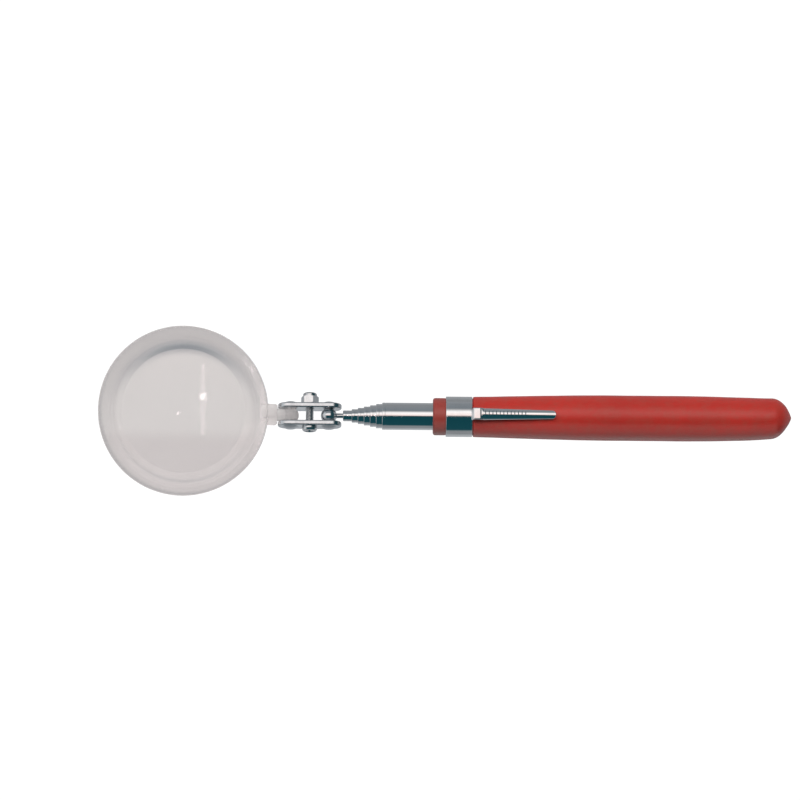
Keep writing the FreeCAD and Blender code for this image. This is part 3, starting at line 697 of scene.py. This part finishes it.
def make_cross_cutter(foot):
    """Tapered cross that cuts the driver recess."""
    axis = np.array(STACK)
    side = np.array(ALONG)
    up = np.cross(axis, side)
    reach, arm = 1.4, 0.35
    pattern = [
        (arm, -reach), (arm, -arm), (reach, -arm), (reach, arm), (arm, arm), (arm, reach),
        (-arm, reach), (-arm, arm), (-reach, arm), (-reach, -arm), (-arm, -arm), (-arm, -reach),
    ]
    rings = []
    for depth, size in ((-HEAD_HEIGHT - 0.4, 1.1), (-HEAD_HEIGHT + 1.0, 0.72)):
        centre = np.array(foot) + axis * depth * MM
        rings.append(np.array([centre + (side * a + up * b) * size * MM for a, b in pattern]))
    return new_object("cross_cutter", *skin(rings, caps=True))


make_screw()

# ---------------------------------------------------------------- grip

BAND_WIDTH = 9.3
BAND_INSIDE = 6.545

# Places along the grip, then its radii, all in millimetres.
TAPER_START = 46.0
TAPER_RUN = 16.0
WIDEST_START = 60.0
WIDEST_END = 87.0
SHOULDER_SETBACK = 12.8
COLLAR_RADIUS = 6.6
FRONT_RADIUS = 7.15
TAPER_RADIUS = 7.85
SHOULDER_RADIUS = 7.52
NOSE_RADIUS = 7.27
NOSE_REACH = 7.5
NOSE_DROOP = 0.75


def swell_line(start, end, origin, run, swell, radius, steps=8):
    """Parabolic stretch that falls from the swell at origin to a radius one run away."""
    return [
        (along, swell - (swell - radius) * ((along - origin) / run) ** 2)
        for along in np.linspace(start, end, steps)
    ]


def make_grip():
    """Dipped sleeve: soft edges, a lip at the clip's band and a slightly uneven skin."""
    length = (grip_high.x - grip_low.x) / MM
    bore = span_of("outer_tube")[2] + HOLD_GAP
    bore_end = (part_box("rear_plug")[1].x - grip_low.x) / MM + HOLD_GAP
    clip_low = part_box("pocket_clip")[0]
    band_start = (clip_low.x - grip_low.x) / MM - 0.05
    band_end = band_start + BAND_WIDTH + 0.35
    swell = (grip_high.z - grip_low.z) / 2 / MM
    groove = BAND_INSIDE - HOLD_GAP
    shoulder = length - SHOULDER_SETBACK
    corners = [
        (bore_end, 0.0), (bore_end, bore), (0.0, bore, 0.25), (0.0, COLLAR_RADIUS, 0.9),
        (band_start - 0.4, COLLAR_RADIUS, 0.2), (band_start - 0.1, groove),
        (band_end, groove, 0.15), (band_end, FRONT_RADIUS - 0.04, 0.3),
        (band_end + 1.2, FRONT_RADIUS + 0.02, 1.0),
    ]
    corners += swell_line(
        TAPER_START, WIDEST_START, WIDEST_START, TAPER_RUN, swell, TAPER_RADIUS
    )
    corners += swell_line(
        WIDEST_END, shoulder - 1.5, WIDEST_END, shoulder - WIDEST_END, swell, SHOULDER_RADIUS
    )
    corners += [
        (length - share * NOSE_REACH, NOSE_RADIUS * (1 - (1 - share) ** 2.15) ** 0.83)
        for share in np.linspace(1.0, 0.12, 20) ** 2
    ]
    corners.append((length, 0.0))
    outline = subdivided(rounded(corners, steps=7), 0.9)

    def in_bore(along, radius):
        return radius < bore + 0.1 and along < bore_end + 0.1

    def dip(along, angles, radius):
        """Slow unevenness of the dipped skin, which fades out at the clip and the nose."""
        fade = min(1.0, max(0.0, along - 15.0) / 6.0, radius / 4.0)
        if in_bore(along, radius):
            fade = 0.0
        slow = np.sin(angles + along * 0.045) * 0.5 + np.sin(2 * angles - along * 0.11 + 1.0) * 0.3
        ripple = math.sin(along * 0.52 + 0.6) * 0.25 + math.sin(along * 0.23) * 0.35
        return 0.035 * fade * (slow + ripple) - 0.03 * fade

    def droop(along, radius):
        """Sideways lean of the nose."""
        shift = NOSE_DROOP * math.exp(-abs(length - along - 1.9) / 5.5)
        return np.array((0.0, 0.0 if in_bore(along, radius) else shift, 0.0))

    origin = Vector((grip_low.x, AXIS_Y, AXIS_Z))
    piece = new_object("dipped_grip", *lathe(outline, origin, ALONG, 160, False, dip, droop))
    return finish_piece(piece, red_vinyl, "handle", ["grip"], 60)


dipped_grip = make_grip()

# ---------------------------------------------------------------- pocket clip

SHEET = 0.6
CLIP_TILT = math.radians(7.2)
CROWN = np.array((0.0, math.sin(CLIP_TILT), math.cos(CLIP_TILT)))
ACROSS = np.array((0.0, math.cos(CLIP_TILT), -math.sin(CLIP_TILT)))
BAND_GAP = 1.2
LOOP_TOP = 10.05
ARM_START = BAND_WIDTH + 3.4
ARM_HALF_WIDTH = 2.1
TIP_HALF_WIDTH = 1.5
TIP_HEIGHT = 8.9
TIP_ROUND = 1.1
# One over the radius that the strip is arched to, across its width.
LOOP_CURVATURE = 0.03
ARM_CURVATURE = 0.40
RIB_SETBACK = 0.5
RIB_PITCH = 1.28
RIB_SHARE = 0.6
RIB_COUNT = 12
RIB_HEIGHT = 0.11


def strip_section(half, curvature, rib):
    """Cross-section of the clip's strip: rolled edges, arched, with a rib on its back."""
    thick = SHEET / 2
    flat = half - thick
    loop = []
    for side in np.linspace(-flat, flat, 25):
        # A rib spans the middle two thirds of the strip and slopes off at both ends.
        fade = min(1.0, max(0.0, (0.66 * half - abs(side)) / 0.22))
        loop.append((side, thick + rib * fade))
    for angle in np.radians(np.linspace(90, -90, 9))[1:-1]:
        loop.append((flat + thick * math.cos(angle), thick * math.sin(angle)))
    for side in np.linspace(flat, -flat, 25):
        loop.append((side, -thick))
    for angle in np.radians(np.linspace(-90, -270, 9))[1:-1]:
        loop.append((-flat + thick * math.cos(angle), thick * math.sin(angle)))
    section = []
    for side, height in loop:
        sag = (1 - math.sqrt(1 - (curvature * side) ** 2)) / curvature
        section.append((side, height - sag))
    return section


def rib_height(distance):
    """Height of the row of small raised ribs, at a distance from the arm's start."""
    row = distance - RIB_SETBACK
    if not 0.0 < row < RIB_COUNT * RIB_PITCH:
        return 0.0
    phase = (row / RIB_PITCH) % 1.0
    return RIB_HEIGHT * math.sin(math.pi * min(phase / RIB_SHARE, 1.0)) ** 2


def make_clip():
    """Split band, standing loop and arched spring arm, with raised ribs on the arm."""
    clip_low, clip_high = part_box("pocket_clip")
    origin = np.array((clip_low.x, AXIS_Y, AXIS_Z))
    along = np.array(ALONG)
    tip = (clip_high.x - clip_low.x) / MM
    section = rounded([
        (0.0, BAND_INSIDE, 0.12), (BAND_WIDTH, BAND_INSIDE, 0.12),
        (BAND_WIDTH, BAND_INSIDE + SHEET, 0.2), (0.0, BAND_INSIDE + SHEET, 0.2),
    ], steps=4)
    section = subdivided(section + section[:1], 0.6)[:-1]
    half_gap = math.asin(BAND_GAP / 2 / BAND_INSIDE)
    rings = []
    for angle in np.linspace(half_gap, 2 * math.pi - half_gap, 181):
        out = -CROWN * math.cos(angle) + ACROSS * math.sin(angle)
        rings.append(np.array([origin + (along * a + out * r) * MM for a, r in section]))
    band = new_object("pocket_clip_stamping", *skin(rings, caps=True))

    band_middle = BAND_INSIDE + SHEET / 2
    path = subdivided(rounded([
        (BAND_WIDTH - 1.3, band_middle), (BAND_WIDTH + 0.15, band_middle, 0.7),
        (BAND_WIDTH + 0.3, LOOP_TOP, 0.6), (BAND_WIDTH + 2.7, LOOP_TOP - 0.02, 0.4),
        (BAND_WIDTH + 2.95, LOOP_TOP - 0.4, 0.3), (ARM_START, LOOP_TOP - 0.2, 0.5),
        (tip, TIP_HEIGHT),
    ], steps=10), 0.1)
    rings = []
    for index, here in enumerate(path):
        tangent = path[min(index + 1, len(path) - 1)] - path[max(index - 1, 0)]
        tangent = tangent / np.linalg.norm(tangent)
        normal = CROWN * tangent[0] - along * tangent[1]
        progress = min(1.0, max(0.0, (here[0] - ARM_START) / (tip - ARM_START)))
        half = ARM_HALF_WIDTH - (ARM_HALF_WIDTH - TIP_HALF_WIDTH) * progress
        to_tip = max(0.0, tip - here[0])
        if to_tip < TIP_ROUND:
            half *= math.sqrt(1 - 0.75 * (1 - to_tip / TIP_ROUND) ** 2)
        standing = min(1.0, max(0.0, (here[1] - band_middle) / 2.0))
        curvature = 1 / band_middle + standing * (LOOP_CURVATURE - 1 / band_middle)
        arching = min(1.0, max(0.0, (here[0] - ARM_START + 0.5) / 1.0))
        curvature += arching * (ARM_CURVATURE - curvature)
        rib = rib_height(here[0] - ARM_START)
        middle = origin + (along * here[0] + CROWN * here[1]) * MM
        rings.append(np.array([
            middle + (ACROSS * side + normal * height) * MM
            for side, height in strip_section(half, curvature, rib)
        ]))
    arm = new_object("pocket_clip_arm", *skin(rings, caps=True))
    combine(band, arm, "UNION")
    finish_piece(band, chrome_clip, "handle", ["pocket_clip"], 40)


make_clip()

# ---------------------------------------------------------------- carried-over CAD nodes

CAD_FINISHES = {
    "lens": clear_acrylic,
    "clamp_plate_upper": zinc_plate,
    "clamp_plate_lower": zinc_plate,
    "clamp_lock_nut": zinc_nut,
    "lock_nut_insert": nylon,
    "rear_plug": black_plastic,
}
for tube in range(1, TUBE_COUNT + 1):
    CAD_FINISHES[f"friction_spring_{tube}"] = spring_bronze
for node, material in CAD_FINISHES.items():
    slots = frame["nodes"][node].data.materials
    slots.clear()
    slots.append(material)

# ---------------------------------------------------------------- studio

# The floor lies out of the swung lens's reach, and the card just under the lens at rest.
SWING_REACH = STEEL_BALL.x - cad_low.x
FLOOR_Z = STEEL_BALL.z - SWING_REACH - 8.0 * MM
CARD_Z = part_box("lens")[0].z - 0.6 * MM


def stage_plane(name, size, height, material):
    """Square sheet of the studio, which isn't part of the object."""
    half = size / 2
    corners = [(-half, -half), (half, -half), (half, half), (-half, half)]
    sheet = new_object(name, [(x, y, height) for x, y in corners], [(0, 1, 2, 3)])
    sheet.data.materials.append(material)
    return sheet


def floor_finish():
    """Pale paper: bright to the camera, plain white for bounce light, and a glowing grey in
    reflections, a painted reflection that is brighter near the tool.
    """
    finish = Finish("studio_floor")
    mottling = finish.noise(40.0, detail=3.0)
    paper = finish.shader("ShaderNodeBsdfDiffuse", {
        "Color": finish.blend(mottling, rgba(0.80, 0.80, 0.80), rgba(0.82, 0.82, 0.82)),
    })
    white = finish.shader("ShaderNodeEmission", {"Color": rgba(1.0, 1.0, 1.0), "Strength": 1.16})
    far = finish.remap(finish.length(finish.place), 0.35, 1.6, 0.82, 1.0)
    seen = finish.mixed(far, paper, white)
    across = finish.axes(finish.place)["Y"]
    # Painted reflection: to glossy rays the floor glows grey, brighter near the tool's line and
    # towards -Y.
    under = finish.remap(finish.math("ABSOLUTE", across), 0.05, 0.22, 1.0, 0.0)
    front = finish.remap(across, -0.08, 0.04, 1.0, 0.35)
    sheen = finish.blend(
        finish.times(under, front), rgba(0.27, 0.285, 0.30), rgba(0.52, 0.54, 0.56)
    )
    mirrored = finish.shader("ShaderNodeEmission", {"Color": sheen, "Strength": 1.0})
    path = finish.add("ShaderNodeLightPath").outputs
    direct = finish.larger(path["Is Camera Ray"], path["Is Transmission Ray"])
    bounced = finish.mixed(path["Is Glossy Ray"], paper, mirrored)
    finish.show(finish.mixed(direct, bounced, seen))
    return finish.material


def card_finish():
    """Grey card under the lens, seen only through it, with the lens's soft shadows and a lighter
    zone painted on it.
    """
    finish = Finish("studio_card")
    axes = finish.axes(finish.place)
    along, across = axes["X"], axes["Y"]

    def distance(offset):
        """Distance on the card from a point that many mm towards -Y of the lens's middle."""
        return finish.length(finish.vector("ADD", finish.place, (0.0, offset * MM, -CARD_Z)))

    def ramp(value, start, end, low, high):
        """Share that goes from low to high between two places in millimetres."""
        return finish.remap(value, start * MM, end * MM, low, high)

    def ring(value, start, peak, end):
        """Share that rises from start to peak, in millimetres, and falls again to end."""
        rise = finish.soft(value, start * MM, peak * MM)
        return finish.times(rise, finish.soft(value, end * MM, peak * MM))

    radius = distance(0.0)
    # Painted light: the card is a little lighter above a soft line below the lens's middle, for the
    # edge of a light reflected in the lens.
    tone = finish.blend(
        ramp(across, -10.5, -6.5, 0.0, 1.0),
        rgba(0.213, 0.203, 0.203), rgba(0.237, 0.231, 0.229),
    )
    # Painted shadows of the lens on the card: a soft shade from about 25 mm out, stronger towards
    # +Y; the crescent that its sloping ring casts on the upper side; a thin dark ring on the lower
    # side; and a darker ring past its edge, fading out towards +X.
    painted_rim_shade = finish.soft(radius, 24.2 * MM, 25.8 * MM)
    upper = finish.larger(finish.math("DIVIDE", across, radius), 0.0)
    outer = finish.times(ring(radius, 28.4, 29.7, 32.5), ramp(across, 20.0, -10.0, 0.4, 1.0))
    for band, share, shade in (
        (painted_rim_shade, ramp(across, -20.0, 24.0, 0.0, 0.85), (0.168, 0.163, 0.164)),
        (ring(distance(3.4), 22.2, 26.8, 30.2), finish.times(upper, upper), (0.082, 0.090, 0.100)),
        (ring(radius, 24.7, 25.8, 26.8), ramp(across, -5.0, -24.0, 0.0, 0.9),
         (0.176, 0.172, 0.174)),
        (outer, ramp(along, 20.0, 27.0, 1.0, 0.0), (0.150, 0.148, 0.151)),
    ):
        tone = finish.blend(finish.times(band, share), tone, rgba(*shade))
    finish.show(finish.shader("ShaderNodeBsdfDiffuse", {"Color": tone}))
    return finish.material


stage_plane("studio_floor_sheet", 60.0, FLOOR_Z, floor_finish())
card = stage_plane("studio_grey_card", 0.8, CARD_Z, card_finish())
for ray in ("camera", "diffuse", "glossy", "shadow", "volume_scatter"):
    setattr(card, f"visible_{ray}", False)


def add_light(name, data, place, target):
    """Hang a light, aimed at a point with its long side kept level, out of the camera's sight."""
    light = bpy.data.objects.new(name, data)
    light.location = place
    direction = (Vector(target) - Vector(place)).normalized()
    light.rotation_mode = "QUATERNION"
    light.rotation_quaternion = Vector((0.0, 0.0, -1.0)).rotation_difference(direction)
    light.visible_camera = False
    light.visible_volume_scatter = False
    scene.collection.objects.link(light)
    return light


def area_light(name, place, target, size_x, size_y, power, colour):
    """Rectangular soft light aimed at a point."""
    data = bpy.data.lights.new(name, "AREA")
    data.shape = "RECTANGLE"
    data.size, data.size_y = size_x, size_y
    data.energy = power
    data.color = colour
    return add_light(name, data, place, target)


MIDDLE = (cad_low + cad_high) / 2
SHEEN_REACH = 0.115
SHEEN_LENGTH = 0.30
SHEEN_WIDTH = 0.11


def overhead(angle, distance):
    """Point above the tool, leaning towards +Y by an angle from the vertical."""
    lean = math.radians(angle)
    return MIDDLE + Vector((0.0, math.sin(lean), math.cos(lean))) * distance


key = area_light("key_softbox", overhead(32.0, 1.15), MIDDLE, 2.2, 0.72, 18.8, (1.0, 0.97, 0.95))
key.visible_glossy = False
key.visible_transmission = False


def side_sheens():
    """Sheets beside the grip that only show as a grey sheen on its near side."""
    receivers = bpy.data.collections.new("grip_only")
    receivers.objects.link(dipped_grip)
    aim = Vector(((grip_low.x + grip_high.x) / 2, AXIS_Y, AXIS_Z))
    for name, angle, power in (("side_sheen", 56.0, 0.13), ("low_sheen", 110.0, 0.095)):
        lean = math.radians(angle)
        place = aim + Vector((0.0, -math.sin(lean), math.cos(lean))) * SHEEN_REACH
        sheen = area_light(
            name, place, aim, SHEEN_LENGTH, SHEEN_WIDTH, power, (0.98, 0.98, 0.94)
        )
        sheen.visible_diffuse = False
        sheen.visible_transmission = False
        sheen.light_linking.receiver_collection = receivers


side_sheens()


def card_sun():
    """Light that only reaches the card, and sets the grey that shows through the lens."""
    data = bpy.data.lights.new("card_sun", "SUN")
    data.energy = 7.4
    data.angle = math.radians(9.0)
    sun = add_light("card_sun", data, overhead(20.0, 1.0), MIDDLE)
    receivers = bpy.data.collections.new("card_only")
    receivers.objects.link(card)
    sun.light_linking.receiver_collection = receivers


card_sun()


def studio_world():
    """White to the camera and as fill light; a banded studio in reflections."""
    world = bpy.data.worlds.new("studio_world")
    world.use_nodes = True
    nodes = Nodes(world.node_tree)
    axes = nodes.axes(nodes.add("ShaderNodeTexCoord").outputs["Generated"])
    turn = nodes.math("ARCTAN2", axes["Y"], axes["Z"])
    ramp = nodes.add("ShaderNodeValToRGB", {0: nodes.remap(turn, -math.pi, math.pi, 0.0, 1.0)})
    # Degrees about the tool's length, from straight up towards +Y, with the tone seen there.
    bands = [
        (-180, (0.27, 0.285, 0.30)), (-94, (0.27, 0.29, 0.305)), (-86, (0.18, 0.22, 0.23)),
        (-79, (0.010, 0.066, 0.084)), (1, (0.006, 0.058, 0.074)), (5, (0.28, 0.26, 0.25)),
        (9, (1.15, 0.95, 0.90)), (30, (1.25, 1.20, 1.18)), (44, (0.40, 0.40, 0.41)),
        (50, (0.22, 0.25, 0.275)), (88, (0.26, 0.28, 0.30)), (180, (0.29, 0.31, 0.33)),
    ]
    elements = ramp.color_ramp.elements
    while len(elements) < len(bands):
        elements.new(0.5)
    for element, (degrees, _) in zip(elements, bands):
        element.position = (degrees + 180) / 360
    for element, (_, colour) in zip(elements, bands):
        element.color = rgba(*colour)
    banded = ramp.outputs[0]
    # The studio's two ends: pale beyond the lens, dark beyond the grip.
    for start, full, tone in (
        (-0.55, -0.85, (0.70, 0.72, 0.74)), (0.28, 0.55, (0.02, 0.065, 0.08)),
    ):
        share = nodes.remap(axes["X"], start, full, 0.0, 1.0)
        banded = nodes.blend(share, banded, rgba(*tone))

    def background(colour, strength=1.0):
        return nodes.shader("ShaderNodeBackground", {"Color": colour, "Strength": strength})

    path = nodes.add("ShaderNodeLightPath").outputs
    fill = background(rgba(0.97, 0.98, 1.0), 0.09)
    shade = nodes.mixed(path["Is Diffuse Ray"], background(banded), fill)
    through = background(rgba(0.62, 0.61, 0.62))
    shade = nodes.mixed(path["Is Transmission Ray"], shade, through)
    shade = nodes.mixed(path["Is Camera Ray"], shade, background(rgba(1.0, 1.0, 1.0)))
    nodes.show(shade, "ShaderNodeOutputWorld")
    scene.world = world


studio_world()

# ---------------------------------------------------------------- camera

VIEW_ROLL = math.radians(0.5)
SENSOR = 36.0
FOCAL = 135.0
OBJECT_LENGTH = cad_high.x - cad_low.x
# The tool is seen from straight above, with a margin on both sides. The middle of the view
# lies past the joint, and a little across from the tool's axis.
VIEW_WIDTH = OBJECT_LENGTH * 1.1548
CAMERA_PLACE = Vector((
    cad_low.x + OBJECT_LENGTH * 0.4351,
    OBJECT_LENGTH * 0.01817,
    AXIS_Z + VIEW_WIDTH * FOCAL / SENSOR,
))


def add_camera():
    """Long lens, straight above the tool, turned a little in its own plane."""
    data = bpy.data.cameras.new("photo_view")
    data.sensor_width = SENSOR
    data.lens = FOCAL
    data.clip_start, data.clip_end = 0.05, 100.0
    camera = bpy.data.objects.new("photo_view", data)
    camera.location = CAMERA_PLACE
    camera.rotation_euler = (0.0, 0.0, VIEW_ROLL)
    scene.collection.objects.link(camera)
    scene.camera = camera


add_camera()
scene.view_settings.view_transform = "Standard"
scene.view_settings.look = "None"

# ---------------------------------------------------------------- lamp on the lens

# Radius that the lens's front is taken to bulge with, in millimetres.
LENS_BULGE = 400.0


def lamp_on_lens(name, spot, distance, size_x, size_y, power, colour):
    """Lamp whose image on the lens's bulged front falls on a spot beside the middle."""
    here = Vector((spot[0] * MM, spot[1] * MM, AXIS_Z))
    normal = Vector((spot[0] / LENS_BULGE, spot[1] / LENS_BULGE, 1.0)).normalized()
    towards = (CAMERA_PLACE - here).normalized()
    out = 2 * towards.dot(normal) * normal - towards
    return area_light(name, here + out * distance, here, size_x, size_y, power, colour)


strip = lamp_on_lens("lens_strip", (7.0, 4.0), 1.6, 0.013, 0.26, 0.034, (1.0, 0.80, 0.80))
strip.visible_transmission = False
lamp_on_lens("lens_glint", (7.0, 4.9), 1.55, 0.016, 0.018, 0.026, (1.0, 0.88, 0.88))
